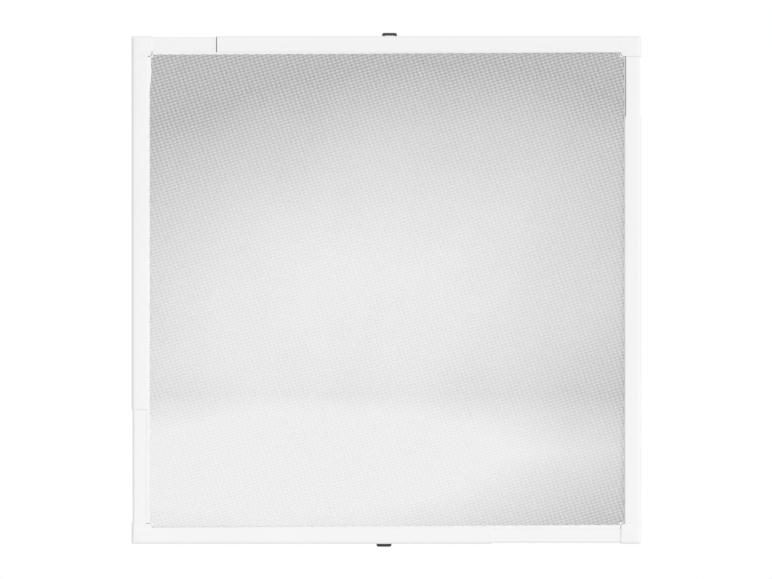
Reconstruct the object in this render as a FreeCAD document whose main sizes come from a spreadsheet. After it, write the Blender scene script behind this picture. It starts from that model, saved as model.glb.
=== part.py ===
import FreeCAD, Part
import Sketcher
import os
import types

# Every size that can be set by itself, in millimetres
driving_sizes = {
    # Whole frame, over the sleeves
    "frame_width": 560,
    "frame_height": 558,
    # Outer sleeve
    "sleeve_width": 18,
    "sleeve_depth": 12,
    "sleeve_wall": 1,
    "front_radius": 4.5,
    "edge_radius": 0.8,
    "inside_radius": 0.2,
    # Inner rail, sliding in the sleeve
    "slide_clearance": 0.1,
    "slide_wall": 1,
    "slide_length": 220,
    "slide_edge_radius": 0.6,
    # Ends of the sleeves, measured from the frame's corner where the inner rail sits
    "top_seam": 93.9,
    "right_seam": 88.8,
    "bottom_seam": 164,
    "left_seam": 148,
    # Slot along the inner side of every rail
    "slot_height": 4.5,
    "slot_width": 3,
    # Corner block
    "corner_size": 22.4,
    "corner_inner_radius": 3.5,
    "plug_length": 32,
    "plug_clearance": 0.1,
    "plug_wall": 1.6,
    "plug_core_depth": 26,
    "plug_lead": 0.4,
    # Strip that holds the mesh
    "flange_thickness": 1.5,
    "flange_height": 5.9,
    "barb_depth": 4,
    "barb_thickness": 1.6,
    "rib_height": 0.5,
    "rib_width": 0.7,
    "rib_pitch": 1.3,
    "rib_count": 3,
    "strip_end_gap": 0.8,
    # Mesh
    "mesh_thickness": 0.5,
    "mesh_tuck": 3.4,
    "mesh_hem": 0.8,
    "mesh_gap_count": 120,
    "strand_width": 1.1,
    "mesh_corner_gap": 0.2,
    # Hanging hook
    "hook_width": 16.5,
    "hook_thickness": 2,
    "hook_inset": 3,
    "hook_foot": 12.5,
    "hook_gap": 10,
    "hook_reach": 5,
    "hook_round": 2.2,
    "hook_bar": 3,
    "hook_leg": 3.2,
    "top_hook_shift": 3.5,
    "bottom_hook_shift": -2.6,
    # Screw in each hook's foot
    "screw_diameter": 2.9,
    "screw_length": 7.5,
    "screw_head_diameter": 5.6,
    "screw_head_height": 2,
    "screw_clearance": 0.05,
    "screw_recess_depth": 1.1,
    "screw_recess_length": 3.2,
    "screw_recess_width": 0.8,
}


class Size:
    """A length that carries its formula on the sheet together with its number."""

    def __init__(self, formula, number):
        self.formula = formula
        self.number = float(number)

    def __add__(self, other):
        other = as_size(other)
        return Size("(%s + %s)" % (self.formula, other.formula), self.number + other.number)

    def __sub__(self, other):
        other = as_size(other)
        return Size("(%s - %s)" % (self.formula, other.formula), self.number - other.number)

    def __mul__(self, factor):
        factor = as_size(factor)
        return Size("(%s * %s)" % (self.formula, factor.formula), self.number * factor.number)

    def __truediv__(self, divisor):
        divisor = as_size(divisor)
        return Size("(%s / %s)" % (self.formula, divisor.formula), self.number / divisor.number)

    def __neg__(self):
        return Size("(0 - %s)" % self.formula, -self.number)


def as_size(item):
    if isinstance(item, Size):
        return item
    return Size("%s" % item, item)


doc = FreeCAD.newDocument("window_screen_frame")
sheet = doc.addObject("Spreadsheet::Sheet", "sizes")
size = types.SimpleNamespace()
for row, alias in enumerate(driving_sizes, 1):
    number = driving_sizes[alias]
    sheet.set("A%d" % row, alias)
    sheet.set("B%d" % row, "%s" % number)
    sheet.setAlias("B%d" % row, alias)
    setattr(size, alias, Size("sizes.%s" % alias, number))
doc.recompute()

# Sizes that follow from the ones above
slide_inset = size.sleeve_wall + size.slide_clearance
slide_width = size.sleeve_width - slide_inset * 2
slide_depth = size.sleeve_depth - slide_inset * 2
slide_front_radius = size.front_radius - slide_inset
barb_tip = size.sleeve_width - size.barb_depth
barb_front = size.slot_height + size.slot_width - size.rib_height - size.slide_clearance
barb_back = barb_front - size.barb_thickness
screw_hole = size.screw_diameter + size.screw_clearance * 2


# Helpers for bodies, sketches and features
def new_body(label):
    body = doc.addObject("PartDesign::Body", label)
    body.Label = label
    return body


def new_sketch(body, name, role, lift=None):
    """A sketch on one of the body's own planes, lifted along the plane's normal where asked."""
    sketch = body.newObject("Sketcher::SketchObject", name)
    plane = [item for item in body.Origin.OriginFeatures if item.Role == role][0]
    sketch.AttachmentSupport = [(plane, "")]
    sketch.MapMode = "FlatFace"
    if lift is not None:
        sketch.setExpression("AttachmentOffset.Base.z", lift.formula)
    return sketch


def pin(sketch, kind, geometry, point, value, name):
    """Hold one coordinate of a point at a size from the sketch's origin."""
    if value.number == 0:
        axis = -2 if kind == "DistanceX" else -1
        sketch.addConstraint(Sketcher.Constraint("PointOnObject", geometry, point, axis))
        return
    ends = (-1, 1, geometry, point)
    if value.number < 0:
        ends = (geometry, point, -1, 1)
        value = -value
    measure(sketch, kind, ends, value, name)


def measure(sketch, kind, ends, value, name):
    """Add one driving dimension and bind it to its formula."""
    index = sketch.addConstraint(Sketcher.Constraint(kind, *ends, value.number))
    sketch.renameConstraint(index, name)
    sketch.setExpression("Constraints.%s" % name, value.formula)


def polygon(sketch, corners, prefix):
    """A closed outline whose sides run along the sketch's axes."""
    first = sketch.GeometryCount
    count = len(corners)
    points = [FreeCAD.Vector(x.number, y.number, 0) for x, y in corners]
    for i in range(count):
        sketch.addGeometry(Part.LineSegment(points[i], points[(i + 1) % count]), False)
    for i in range(count):
        following = first + (i + 1) % count
        sketch.addConstraint(Sketcher.Constraint("Coincident", first + i, 2, following, 1))
        level = abs(points[i].y - points[(i + 1) % count].y) < 1e-9
        sketch.addConstraint(Sketcher.Constraint("Horizontal" if level else "Vertical", first + i))
        if level:
            pin(sketch, "DistanceY", first + i, 1, corners[i][1], "%s_y_%d" % (prefix, i))
        else:
            pin(sketch, "DistanceX", first + i, 1, corners[i][0], "%s_x_%d" % (prefix, i))


def box_outline(sketch, left, low, right, high, prefix):
    left = as_size(left)
    low = as_size(low)
    right = as_size(right)
    high = as_size(high)
    polygon(sketch, [(left, low), (right, low), (right, high), (left, high)], prefix)


def rail_outline(sketch, left, low, width, height, front, edge, prefix):
    """A rectangle with small rounds and one larger round on its outer front corner."""
    first = sketch.GeometryCount
    x0 = left.number
    y0 = low.number
    x1 = x0 + width.number
    y1 = y0 + height.number
    r = edge.number
    f = front.number
    corners = [
        (x1 - r, y0 + r, r, -90),
        (x1 - r, y1 - r, r, 0),
        (x0 + f, y1 - f, f, 90),
        (x0 + r, y0 + r, r, 180),
    ]
    sides = [
        (x0 + r, y0, x1 - r, y0),
        (x1, y0 + r, x1, y1 - r),
        (x1 - r, y1, x0 + f, y1),
        (x0, y1 - f, x0, y0 + r),
    ]
    for side, corner in zip(sides, corners):
        ax, ay, bx, by = side
        sketch.addGeometry(Part.LineSegment(FreeCAD.Vector(ax, ay, 0), FreeCAD.Vector(bx, by, 0)), False)
        cx, cy, radius, start = corner
        circle = Part.Circle(FreeCAD.Vector(cx, cy, 0), FreeCAD.Vector(0, 0, 1), radius)
        begin = FreeCAD.Units.Quantity("%s deg" % start).getValueAs("rad").Value
        finish = FreeCAD.Units.Quantity("%s deg" % (start + 90)).getValueAs("rad").Value
        sketch.addGeometry(Part.ArcOfCircle(circle, begin, finish), False)
    for i in range(8):
        sketch.addConstraint(Sketcher.Constraint("Tangent", first + i, 2, first + (i + 1) % 8, 1))
    bottom, rear_inner, inner, front_inner, top, front_outer, outer, rear_outer = range(first, first + 8)
    sketch.addConstraint(Sketcher.Constraint("Horizontal", bottom))
    sketch.addConstraint(Sketcher.Constraint("Horizontal", top))
    sketch.addConstraint(Sketcher.Constraint("Vertical", inner))
    sketch.addConstraint(Sketcher.Constraint("Vertical", outer))
    sketch.addConstraint(Sketcher.Constraint("Equal", rear_inner, front_inner))
    sketch.addConstraint(Sketcher.Constraint("Equal", rear_inner, rear_outer))
    measure(sketch, "Radius", (rear_inner,), edge, prefix + "_edge")
    measure(sketch, "Radius", (front_outer,), front, prefix + "_front")
    pin(sketch, "DistanceX", outer, 1, left, prefix + "_left")
    pin(sketch, "DistanceY", bottom, 1, low, prefix + "_low")
    measure(sketch, "DistanceX", (outer, 1, inner, 1), width, prefix + "_width")
    measure(sketch, "DistanceY", (bottom, 1, top, 1), height, prefix + "_height")


def pad(body, name, sketch, length, both_ways=False):
    feature = body.newObject("PartDesign::Pad", name)
    feature.Profile = sketch
    feature.setExpression("Length", length.formula)
    feature.Midplane = both_ways
    sketch.Visibility = False
    doc.recompute()
    return feature


def pocket(body, name, sketch, depth=None, along_normal=True, both_ways=False):
    """Cut a sketch through the body, or to a depth, along the sketch's normal or against it."""
    before = body.Tip.Shape.Volume
    feature = body.newObject("PartDesign::Pocket", name)
    feature.Profile = sketch
    feature.Reversed = along_normal
    feature.Midplane = both_ways
    if depth is None:
        feature.Type = "ThroughAll"
    else:
        feature.Type = "Length"
        feature.setExpression("Length", depth.formula)
    sketch.Visibility = False
    doc.recompute()
    if not feature.Shape.Volume < before - 1e-6:
        raise RuntimeError("%s in %s cuts nothing" % (name, body.Label))
    return feature


def edges_where(feature, tests):
    """Names of the edges whose end points all pass one of the tests."""
    found = []
    for number, edge in enumerate(feature.Shape.Edges, 1):
        points = [vertex.Point for vertex in edge.Vertexes]
        if any(all(test(point) for point in points) for test in tests):
            found.append("Edge%d" % number)
    if not found:
        raise RuntimeError("no edge found on %s" % feature.Label)
    return found


def rounded(body, name, tests, radius):
    base = body.Tip
    feature = body.newObject("PartDesign::Fillet", name)
    feature.Base = (base, edges_where(base, tests))
    feature.setExpression("Radius", radius.formula)
    doc.recompute()
    return feature


def bevelled(body, name, tests, width):
    base = body.Tip
    feature = body.newObject("PartDesign::Chamfer", name)
    feature.Base = (base, edges_where(base, tests))
    feature.setExpression("Size", width.formula)
    doc.recompute()
    return feature


def near(a, b):
    return abs(a - b) < 1e-5


# The four sides, each starting at the corner that carries its sleeve.
# A side's own axes: x inward from the outer edge, y from the back to the front, z along the rail.
class Side:
    def __init__(self, name, corner, inward, along, x, z):
        self.name = name
        self.corner = corner
        self.rotation = FreeCAD.Rotation(inward, FreeCAD.Vector(0, -1, 0), along, "ZXY")
        self.along = along
        self.x = x
        self.z = z
        self.length = size.frame_width if along.z == 0 else size.frame_height
        self.seam = getattr(size, name + "_seam")


right_x = FreeCAD.Vector(1, 0, 0)
up_z = FreeCAD.Vector(0, 0, 1)
left_x = FreeCAD.Vector(-1, 0, 0)
down_z = FreeCAD.Vector(0, 0, -1)
half_width = size.frame_width / 2
half_height = size.frame_height / 2

sides = [
    Side("top", "corner_top_right", down_z, left_x, half_width, half_height),
    Side("right", "corner_bottom_right", left_x, up_z, half_width, -half_height),
    Side("bottom", "corner_bottom_left", up_z, right_x, -half_width, -half_height),
    Side("left", "corner_top_left", right_x, down_z, -half_width, half_height),
]


def place(body, side, along):
    """Put a body on its side of the frame, at a distance along the rail."""
    x = side.x + along * int(side.along.x)
    z = side.z + along * int(side.along.z)
    body.Placement = FreeCAD.Placement(FreeCAD.Vector(x.number, 0, z.number), side.rotation)
    body.setExpression("Placement.Base.x", x.formula)
    body.setExpression("Placement.Base.z", z.formula)


def cut_slot(body, inner_face, wall):
    """The slot along a rail's inner wall, where the mesh and its strip go in."""
    sketch = new_sketch(body, body.Label + "_slot_sketch", "XY_Plane")
    low = size.slot_height
    box_outline(sketch, inner_face - wall * 1.5, low, inner_face + wall, low + size.slot_width, "slot")
    pocket(body, body.Label + "_slot", sketch)


def make_sleeve(side, hook_at=None):
    body = new_body(side.name + "_sleeve")
    length = side.length - size.corner_size - side.seam
    sketch = new_sketch(body, body.Label + "_section", "XY_Plane")
    zero = as_size(0)
    width = size.sleeve_width
    depth = size.sleeve_depth
    wall = size.sleeve_wall
    rail_outline(sketch, zero, zero, width, depth, size.front_radius, size.edge_radius, "outside")
    hollow_width = width - wall * 2
    hollow_depth = depth - wall * 2
    hollow_front = size.front_radius - wall
    rail_outline(sketch, wall, wall, hollow_width, hollow_depth, hollow_front, size.inside_radius, "inside")
    pad(body, body.Label + "_tube", sketch, length)
    cut_slot(body, size.sleeve_width, size.sleeve_wall)
    if hook_at is not None:
        hole_sketch = new_sketch(body, body.Label + "_screw_hole_sketch", "XZ_Plane")
        hook_along = hook_at - size.corner_size
        circle_outline(hole_sketch, hook_screw_place, hook_along, screw_hole / 2, "hole")
        pocket(body, body.Label + "_screw_hole", hole_sketch, size.sleeve_wall * 2, False, True)
    place(body, side, size.corner_size)
    return body


def circle_outline(sketch, x, y, radius, prefix):
    middle = FreeCAD.Vector(x.number, y.number, 0)
    index = sketch.addGeometry(Part.Circle(middle, FreeCAD.Vector(0, 0, 1), radius.number), False)
    measure(sketch, "Radius", (index,), radius, prefix + "_radius")
    pin(sketch, "DistanceX", index, 3, x, prefix + "_x")
    pin(sketch, "DistanceY", index, 3, y, prefix + "_y")


def make_slide(side):
    body = new_body(side.name + "_slide")
    sketch = new_sketch(body, body.Label + "_section", "XY_Plane")
    inset = slide_inset
    edge = size.slide_edge_radius
    rail_outline(sketch, inset, inset, slide_width, slide_depth, slide_front_radius, edge, "outside")
    inset = slide_inset + size.slide_wall
    hollow_width = slide_width - size.slide_wall * 2
    hollow_depth = slide_depth - size.slide_wall * 2
    hollow_front = slide_front_radius - size.slide_wall
    rail_outline(sketch, inset, inset, hollow_width, hollow_depth, hollow_front, size.inside_radius, "inside")
    pad(body, body.Label + "_tube", sketch, size.slide_length)
    cut_slot(body, slide_inset + slide_width, size.slide_wall)
    place(body, side, side.length - size.corner_size - size.slide_length)
    return body


def make_corner(side):
    """A square block with a plug for the sleeve along z and a smaller plug for the inner rail along x."""
    body = new_body(side.corner)
    label = body.Label
    zero = as_size(0)
    block_sketch = new_sketch(body, label + "_block_sketch", "XY_Plane")
    box_outline(block_sketch, zero, zero, size.corner_size, size.sleeve_depth, "block")
    pad(body, label + "_block", block_sketch, size.corner_size)
    front = size.sleeve_depth.number
    far = size.corner_size.number
    inner_edge = [lambda p: near(p.x, far) and near(p.z, far)]
    rounded(body, label + "_inner_round", inner_edge, size.corner_inner_radius)
    front_edges = [lambda p: near(p.y, front) and near(p.x, 0), lambda p: near(p.y, front) and near(p.z, 0)]
    rounded(body, label + "_front_round", front_edges, size.front_radius)
    back_edges = [lambda p: near(p.y, 0) and near(p.x, 0), lambda p: near(p.y, 0) and near(p.z, 0)]
    rounded(body, label + "_back_round", back_edges, size.edge_radius)

    plug_root = size.corner_size / 2
    plug_reach = size.corner_size + size.plug_length
    sleeve_plug_inset = size.sleeve_wall + size.plug_clearance
    sleeve_plug_width = size.sleeve_width - sleeve_plug_inset * 2
    sleeve_plug_depth = size.sleeve_depth - sleeve_plug_inset * 2
    slide_plug_inset = slide_inset + size.slide_wall + size.plug_clearance
    slide_plug_width = size.sleeve_width - slide_plug_inset * 2
    slide_plug_depth = size.sleeve_depth - slide_plug_inset * 2
    groove_floor = barb_tip - size.plug_clearance * 3

    sleeve_plug = new_sketch(body, label + "_sleeve_plug_sketch", "XY_Plane", plug_root)
    rail_outline(
        sleeve_plug,
        sleeve_plug_inset,
        sleeve_plug_inset,
        sleeve_plug_width,
        sleeve_plug_depth,
        size.front_radius - sleeve_plug_inset,
        size.slide_edge_radius,
        "plug",
    )
    pad(body, label + "_sleeve_plug", sleeve_plug, plug_reach - plug_root)

    # On the plane across x the sketch's own x runs along the body's y and its y along the body's z
    slide_plug = new_sketch(body, label + "_slide_plug_sketch", "YZ_Plane", plug_root)
    low = slide_plug_inset
    box_outline(slide_plug, low, low, low + slide_plug_depth, low + slide_plug_width, "plug")
    pad(body, label + "_slide_plug", slide_plug, plug_reach - plug_root)
    end = plug_reach.number
    plug_front = slide_plug_inset.number + slide_plug_depth.number
    plug_side = slide_plug_inset.number
    plug_edge = [lambda p: near(p.y, plug_front) and near(p.z, plug_side)]
    plug_round = slide_front_radius - size.slide_wall - size.plug_clearance
    rounded(body, label + "_slide_plug_round", plug_edge, plug_round)
    end_edges = [lambda p: near(p.x, end), lambda p: near(p.z, end)]
    bevelled(body, label + "_plug_lead", end_edges, size.plug_lead)

    # Hollow in each plug's end
    core = new_sketch(body, label + "_sleeve_core_sketch", "XY_Plane", plug_reach)
    core_low = sleeve_plug_inset + size.plug_wall
    core_high = size.sleeve_depth - core_low
    box_outline(core, core_low, core_low, groove_floor - size.plug_wall, core_high, "core")
    pocket(body, label + "_sleeve_core", core, size.plug_core_depth, False)
    core = new_sketch(body, label + "_slide_core_sketch", "YZ_Plane", plug_reach)
    core_low = slide_plug_inset + size.plug_wall
    core_high = size.sleeve_depth - core_low
    box_outline(core, core_low, core_low, core_high, groove_floor - size.plug_wall, "core")
    pocket(body, label + "_slide_core", core, size.plug_core_depth, False)

    # Groove along each plug, clear of the strip and the mesh's edge
    groove = new_sketch(body, label + "_sleeve_groove_sketch", "XY_Plane", size.corner_size)
    slot_top = size.slot_height + size.slot_width
    box_outline(groove, groove_floor, size.slot_height, size.sleeve_width, slot_top, "groove")
    pocket(body, label + "_sleeve_groove", groove)
    groove = new_sketch(body, label + "_slide_groove_sketch", "YZ_Plane", size.corner_size)
    box_outline(groove, size.slot_height, groove_floor, slot_top, size.sleeve_width, "groove")
    pocket(body, label + "_slide_groove", groove)
    place(body, side, as_size(0))
    return body


def make_strip(side):
    """A strip with a flange standing forward on the rail's inner side and a ribbed barb in the slot."""
    body = new_body(side.name + "_strip")
    label = body.Label
    length = side.length - (size.corner_size + size.strip_end_gap) * 2
    flange = new_sketch(body, label + "_flange_sketch", "XY_Plane")
    flange_front = barb_back + size.flange_height
    flange_edge = size.sleeve_width + size.flange_thickness
    box_outline(flange, size.sleeve_width, barb_back, flange_edge, flange_front, "flange")
    pad(body, label + "_flange", flange, length)
    barb = new_sketch(body, label + "_barb_sketch", "XY_Plane")
    box_outline(barb, barb_tip, barb_back, size.sleeve_width, barb_front, "barb")
    pad(body, label + "_barb", barb, length)
    rib = new_sketch(body, label + "_rib_sketch", "XY_Plane")
    box_outline(rib, barb_tip, barb_front, barb_tip + size.rib_width, barb_front + size.rib_height, "rib")
    feature = pad(body, label + "_rib", rib, length)
    pattern = body.newObject("PartDesign::LinearPattern", label + "_ribs")
    pattern.Originals = [feature]
    pattern.Direction = (rib, ["H_Axis"])
    pattern.setExpression("Length", (size.rib_pitch * (size.rib_count - 1)).formula)
    pattern.setExpression("Occurrences", size.rib_count.formula)
    body.Tip = pattern
    doc.recompute()
    place(body, side, size.corner_size + size.strip_end_gap)
    return body


def make_mesh():
    """A flat sheet tucked into the four slots behind the strips, open between its upright strands."""
    body = new_body("insect_mesh")
    reach = size.sleeve_width - size.mesh_tuck
    half_x = half_width - reach
    half_z = half_height - reach
    notch = size.corner_size + size.mesh_corner_gap
    notch_x = half_width - notch
    notch_z = half_height - notch
    sketch = new_sketch(body, "insect_mesh_outline", "XY_Plane")
    polygon(
        sketch,
        [
            (-half_x, -notch_z),
            (-notch_x, -notch_z),
            (-notch_x, -half_z),
            (notch_x, -half_z),
            (notch_x, -notch_z),
            (half_x, -notch_z),
            (half_x, notch_z),
            (notch_x, notch_z),
            (notch_x, half_z),
            (-notch_x, half_z),
            (-notch_x, notch_z),
            (-half_x, notch_z),
        ],
        "edge",
    )
    pad(body, "insect_mesh_sheet", sketch, size.mesh_thickness)
    field_x = half_width - size.sleeve_width - size.flange_thickness
    field_z = half_height - size.corner_size - size.mesh_hem
    pitch = (field_x * 2 + size.strand_width) / size.mesh_gap_count
    gap = new_sketch(body, "insect_mesh_gap_sketch", "XY_Plane")
    box_outline(gap, -field_x, -field_z, -field_x + pitch - size.strand_width, field_z, "gap")
    first = pocket(body, "insect_mesh_gap", gap)
    pattern = body.newObject("PartDesign::LinearPattern", "insect_mesh_gaps")
    pattern.Originals = [first]
    pattern.Direction = (gap, ["H_Axis"])
    pattern.setExpression("Length", (pitch * (size.mesh_gap_count - 1)).formula)
    pattern.setExpression("Occurrences", size.mesh_gap_count.formula)
    body.Tip = pattern
    doc.recompute()
    rotation = FreeCAD.Rotation(right_x, up_z, FreeCAD.Vector(0, -1, 0), "ZXY")
    mesh_back = barb_back - size.mesh_thickness
    body.Placement = FreeCAD.Placement(FreeCAD.Vector(0, -mesh_back.number, 0), rotation)
    body.setExpression("Placement.Base.y", (-mesh_back).formula)
    return body


# A hook's screw stands in the middle of the foot
hook_foot_start = size.hook_inset + size.hook_thickness
hook_screw_place = hook_foot_start + (size.hook_foot - size.hook_thickness) / 2


def make_hook(side, along):
    """A bent hook: a foot on the rail's back, a bridge going back and a lip rising past the outer edge."""
    body = new_body(side.name + "_hook")
    label = body.Label
    zero = as_size(0)
    back = -(size.hook_gap + size.hook_thickness)
    sketch = new_sketch(body, label + "_bend_sketch", "XY_Plane")
    polygon(
        sketch,
        [
            (size.hook_inset, zero),
            (size.hook_inset, -size.hook_gap),
            (-size.hook_reach, -size.hook_gap),
            (-size.hook_reach, back),
            (hook_foot_start, back),
            (hook_foot_start, -size.hook_thickness),
            (size.hook_inset + size.hook_foot, -size.hook_thickness),
            (size.hook_inset + size.hook_foot, zero),
        ],
        "bend",
    )
    pad(body, label + "_bend", sketch, size.hook_width, True)
    tip = -size.hook_reach.number
    half = size.hook_width.number / 2
    foot_end = size.hook_inset.number + size.hook_foot.number
    corner_edges = [
        lambda p: near(p.x, tip) and near(p.z, half),
        lambda p: near(p.x, tip) and near(p.z, -half),
        lambda p: near(p.x, foot_end) and near(p.z, half),
        lambda p: near(p.x, foot_end) and near(p.z, -half),
    ]
    rounded(body, label + "_corner_round", corner_edges, size.hook_round)

    # Window in the lip, under its outer bar; the plane across y has its own y along the body's z
    window = new_sketch(body, label + "_window_sketch", "XZ_Plane")
    inner = size.hook_width / 2 - size.hook_leg
    window_low = size.hook_bar - size.hook_reach
    window_high = size.hook_inset - size.hook_thickness / 2
    box_outline(window, window_low, -inner, window_high, inner, "window")
    pocket(body, label + "_window", window, None, True)
    hole = new_sketch(body, label + "_hole_sketch", "XZ_Plane")
    circle_outline(hole, hook_screw_place, zero, screw_hole / 2, "hole")
    pocket(body, label + "_hole", hole, None, True)
    place(body, side, along)
    return body


def make_screw(side, along):
    """A pan head screw with a cross recess, its head on the hook's foot."""
    body = new_body(side.name + "_hook_screw")
    label = body.Label
    zero = as_size(0)
    shank = new_sketch(body, label + "_shank_sketch", "XZ_Plane")
    circle_outline(shank, zero, zero, size.screw_diameter / 2, "shank")
    feature = pad(body, label + "_shank", shank, size.screw_length)
    feature.Reversed = True
    doc.recompute()
    head = new_sketch(body, label + "_head_sketch", "XZ_Plane")
    circle_outline(head, zero, zero, size.screw_head_diameter / 2, "head")
    pad(body, label + "_head", head, size.screw_head_height)
    top = -size.screw_head_height.number
    rounded(body, label + "_head_round", [lambda p: near(p.y, top)], size.screw_head_height / 2)
    recess_floor = size.screw_head_height - size.screw_recess_depth
    recess = new_sketch(body, label + "_recess_sketch", "XZ_Plane", recess_floor)
    long_half = size.screw_recess_length / 2
    thin_half = size.screw_recess_width / 2
    polygon(
        recess,
        [
            (-long_half, -thin_half),
            (-thin_half, -thin_half),
            (-thin_half, -long_half),
            (thin_half, -long_half),
            (thin_half, -thin_half),
            (long_half, -thin_half),
            (long_half, thin_half),
            (thin_half, thin_half),
            (thin_half, long_half),
            (-thin_half, long_half),
            (-thin_half, thin_half),
            (-long_half, thin_half),
        ],
        "recess",
    )
    pocket(body, label + "_recess", recess, None, True)
    x = side.x + along * int(side.along.x)
    z = side.z + along * int(side.along.z) - hook_screw_place * int(side.z.number / abs(side.z.number))
    seat = FreeCAD.Vector(x.number, size.hook_thickness.number, z.number)
    body.Placement = FreeCAD.Placement(seat, side.rotation)
    body.setExpression("Placement.Base.x", x.formula)
    body.setExpression("Placement.Base.y", size.hook_thickness.formula)
    body.setExpression("Placement.Base.z", z.formula)
    return body


# Build every piece
top, right, bottom, left = sides
top_hook_along = half_width - size.top_hook_shift
bottom_hook_along = half_width + size.bottom_hook_shift
bodies = [
    make_sleeve(top, top_hook_along),
    make_sleeve(right),
    make_sleeve(bottom, bottom_hook_along),
    make_sleeve(left),
]
for side in sides:
    bodies.append(make_slide(side))
    bodies.append(make_corner(side))
    bodies.append(make_strip(side))
bodies.append(make_mesh())
bodies.append(make_hook(top, top_hook_along))
bodies.append(make_hook(bottom, bottom_hook_along))
bodies.append(make_screw(top, top_hook_along))
bodies.append(make_screw(bottom, bottom_hook_along))
doc.recompute()

# Every feature has to have worked before anything is written
for item in doc.Objects:
    if "Invalid" in item.State or "Error" in item.State:
        raise RuntimeError("%s did not compute" % item.Label)
os.makedirs("parts", exist_ok=True)
for body in bodies:
    shape = body.Shape
    if shape.isNull() or not shape.isValid() or len(shape.Solids) != 1:
        raise RuntimeError("%s is not one sound solid" % body.Label)
for body in bodies:
    body.Shape.exportStep("parts/%s.step" % body.Label)
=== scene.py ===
"""Telescopic window screen frame: coated rails, corner blocks, strips, woven mesh and hanging hooks."""

import math

import bpy
import numpy as np
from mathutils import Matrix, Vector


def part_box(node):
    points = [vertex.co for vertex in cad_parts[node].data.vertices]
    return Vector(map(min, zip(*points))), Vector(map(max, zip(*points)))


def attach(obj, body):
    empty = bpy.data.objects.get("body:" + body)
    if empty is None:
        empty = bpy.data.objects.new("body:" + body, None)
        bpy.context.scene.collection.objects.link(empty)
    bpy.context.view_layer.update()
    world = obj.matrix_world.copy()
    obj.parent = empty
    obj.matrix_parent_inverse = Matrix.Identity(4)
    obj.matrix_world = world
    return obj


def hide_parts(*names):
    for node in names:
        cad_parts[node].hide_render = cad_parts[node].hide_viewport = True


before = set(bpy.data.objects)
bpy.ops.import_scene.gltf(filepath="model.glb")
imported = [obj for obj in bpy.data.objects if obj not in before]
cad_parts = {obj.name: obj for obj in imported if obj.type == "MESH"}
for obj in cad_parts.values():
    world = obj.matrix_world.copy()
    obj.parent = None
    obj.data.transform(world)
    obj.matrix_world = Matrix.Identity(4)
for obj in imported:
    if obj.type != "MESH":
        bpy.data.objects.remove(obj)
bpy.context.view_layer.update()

bl_info = {
    "name": "Window Screen Frame",
    "version": (1, 0, 0),
    "blender": (4, 5, 0),
    "location": "View3D > Sidebar > Screen Frame",
    "description": "Dresses a telescopic insect screen and sets it on a pale stage",
    "category": "Add Mesh",
}

FRONT = np.array((0.0, -1.0, 0.0))

# Rails, with lengths in metres
INSIDE_RADIUS = 0.0002  # rounding of a rail's inside edges
SEAM_SHADE_SHARE = 0.7  # share of the top sleeve's dark bevel, painted shade of the seam's gap, that stands past the sleeve's end

# Corner blocks, with lengths in metres
BLOCK_REAR = 0.0008  # rounding of a block's rear outer edges
REAR_INNER_SHARE = 0.25  # share of it that the rear inner edges have
BLOCK_JOINT = 0.00006  # rounding where a rail joins a block
REAR_STEPS = 6  # levels of a block's rear rounding
FRONT_STEPS = 18  # levels of its front rounding
PLUG_FIT = 0.00015  # room between a plug and its rail
PLUG_ROOT = 0.001  # length of a plug inside its block
PLUG_LEAD = 0.0004  # length of a plug's tapered end
PLUG_TAPER = 0.95  # size of that end, beside the plug's own
PLUG_GROOVE = 0.0048  # depth of a plug's groove, from the rail's inner side

# Strips, with lengths in metres
BARB_DEPTH = 0.004  # from the rail's inner side to the barb's tip
BARB_THICKNESS = 0.0016
NOSE_DEPTH = 0.0004  # bevel on the barb's tip, across the barb
NOSE_LENGTH = 0.0005  # the same bevel, along the barb
RIB_COUNT = 3
RIB_FIRST = 0.0028  # from the barb's tip to the crest of the rib nearest the flange
RIB_PITCH = 0.001
RIB_HALF = 0.0003  # half of a rib's width
RIB_HEIGHT = 0.0005
FLANGE_ROUND = 0.0002  # rounding of the flange's far edges
FLANGE_SEAT = 0.004  # height over the barb of the flange's side against the rail
LIP_HEIGHT = 0.0003  # height of the lip at the flange's front edge
ROOT_SHARE = 0.5  # share of the reach's change in thickness that the flange's root has
SWELL_GAP = 0.00005  # left between a slide and the strip that swells towards it
SWELL_RUN = 0.0002  # length over which the swelling begins
STRIP_STATIONS = 161  # evenly spaced places along a strip
WAVE_RATES = (23.0, 41.0, 97.0)  # of the waves along a strip's edge, in radians to the metre
BULGE_MIDDLE = 0.037  # from the frame's corner to the middle of the left strip's bulge
BULGE_HALF = 0.016  # half of the bulge's length

# How far each strip's flange stands off its rail, at the strip's start and at its end, and its waves' phase
STRIP_REACH = {
    "top": (0.0004, 0.0028),
    "right": (0.0005, 0.0007),
    "bottom": (0.0003, 0.0032),
    "left": (0.0023, 0.0023),
}
STRIP_PHASE = {"top": 5.1, "right": 8.5, "bottom": 10.2, "left": 6.8}

# Mesh, with lengths in metres
YARN_SIDES = 6
YARN_STATIONS = 9  # points along a strand
MESH_HEM = 0.0004  # from the mesh's cut edge to the strands' ends
CORNER_GAP = 0.0002  # between a corner block and the mesh
SHORTEST_STRAND = 0.004
CHANCE_SHARE = 0.5  # spread of a strand's chance shift, as a share of its stray
SWAY_TURN = 8.0  # radians that a strand's sway goes through from end to end
CHANCE_SEED = 18
LEVEL_TONE = 0.5  # upright strands have tones below it, level ones above
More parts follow.
